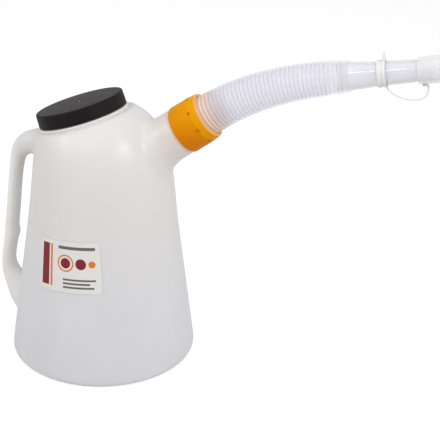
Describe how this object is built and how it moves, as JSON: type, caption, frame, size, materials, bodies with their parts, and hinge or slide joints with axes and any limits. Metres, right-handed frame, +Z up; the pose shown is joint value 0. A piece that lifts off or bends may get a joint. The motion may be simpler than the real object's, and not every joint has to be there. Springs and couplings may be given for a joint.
{
  "type": "oil jug",
  "caption": "Translucent plastic oil jug with hollow handle, large tilted screw lid, and a flexible corrugated pouring spout held by a union nut and closed by a tethered cap.",
  "frame": {"origin": "centre of the round base, in the plane that the jug stands on", "axes": "+Z up, +X from the handle towards the spout, so the mirror plane of body, handle and spout is Y = 0; the label is on the -Y side"},
  "size_m": [0.4519, 0.1992, 0.3591],
  "materials": {
    "natural_body": "satin natural plastic, milky and slightly see-through",
    "charcoal_lid": "satin",
    "foam_liner": "matt foam",
    "amber_nut": "semi-gloss",
    "seal_rubber": "matt",
    "clear_hose": "clear, soft, faintly lavender",
    "clear_nozzle": "clear",
    "clear_strap": "translucent",
    "milky_cap": "milky, satin",
    "label_film": "printed film, satin"
  },
  "bodies": {
    "jug": {"jug_body": "natural_body", "label": "label_film"},
    "liner": {"lid_liner": "foam_liner"},
    "lid": {"filler_lid": "charcoal_lid"},
    "spout": {"flexible_hose": "clear_hose", "spout_seal": "seal_rubber"},
    "nut": {"union_nut": "amber_nut"},
    "nozzle": {"pouring_nozzle": "clear_nozzle", "cap_strap": "clear_strap"},
    "cap": {"nozzle_cap": "milky_cap"}
  },
  "joints": [
    {"name": "lid_lift", "type": "slide", "parent": "jug", "child": "liner", "axis": [-0.3173, 0, 0.9483], "range_m": [0, 0.006]},
    {"name": "lid_turn", "type": "hinge", "parent": "liner", "child": "lid", "pos_m": [-0.0214, 0, 0.2599], "axis": [-0.3173, 0, 0.9483], "range_deg": [0, 540]},
    {"name": "spout_slide", "type": "slide", "parent": "jug", "child": "spout", "axis": [0.8007, 0, 0.599], "range_m": [0, 0.008]},
    {"name": "nut_turn", "type": "hinge", "parent": "spout", "child": "nut", "pos_m": [0.0855, 0, 0.2572], "axis": [0.8007, 0, 0.599], "range_deg": [0, 720]},
    {"name": "spout_bend", "type": "hinge", "parent": "spout", "child": "nozzle", "pos_m": [0.1718, 0, 0.3092], "axis": [0, 1, 0], "range_deg": [-25, 45], "stiffness_Nm_per_rad": 2.5, "deforming": ["flexible_hose"]},
    {"name": "cap_pull", "type": "slide", "parent": "nozzle", "child": "cap", "axis": [0.9806, 0, 0.1959], "range_m": [0, 0.013], "deforming": ["cap_strap"]}
  ],
  "couplings": [
    {"joint": "lid_turn", "follows": "lid_lift", "rad_per_m": 1570.8},
    {"joint": "nut_turn", "follows": "spout_slide", "rad_per_m": 1570.8}
  ]
}
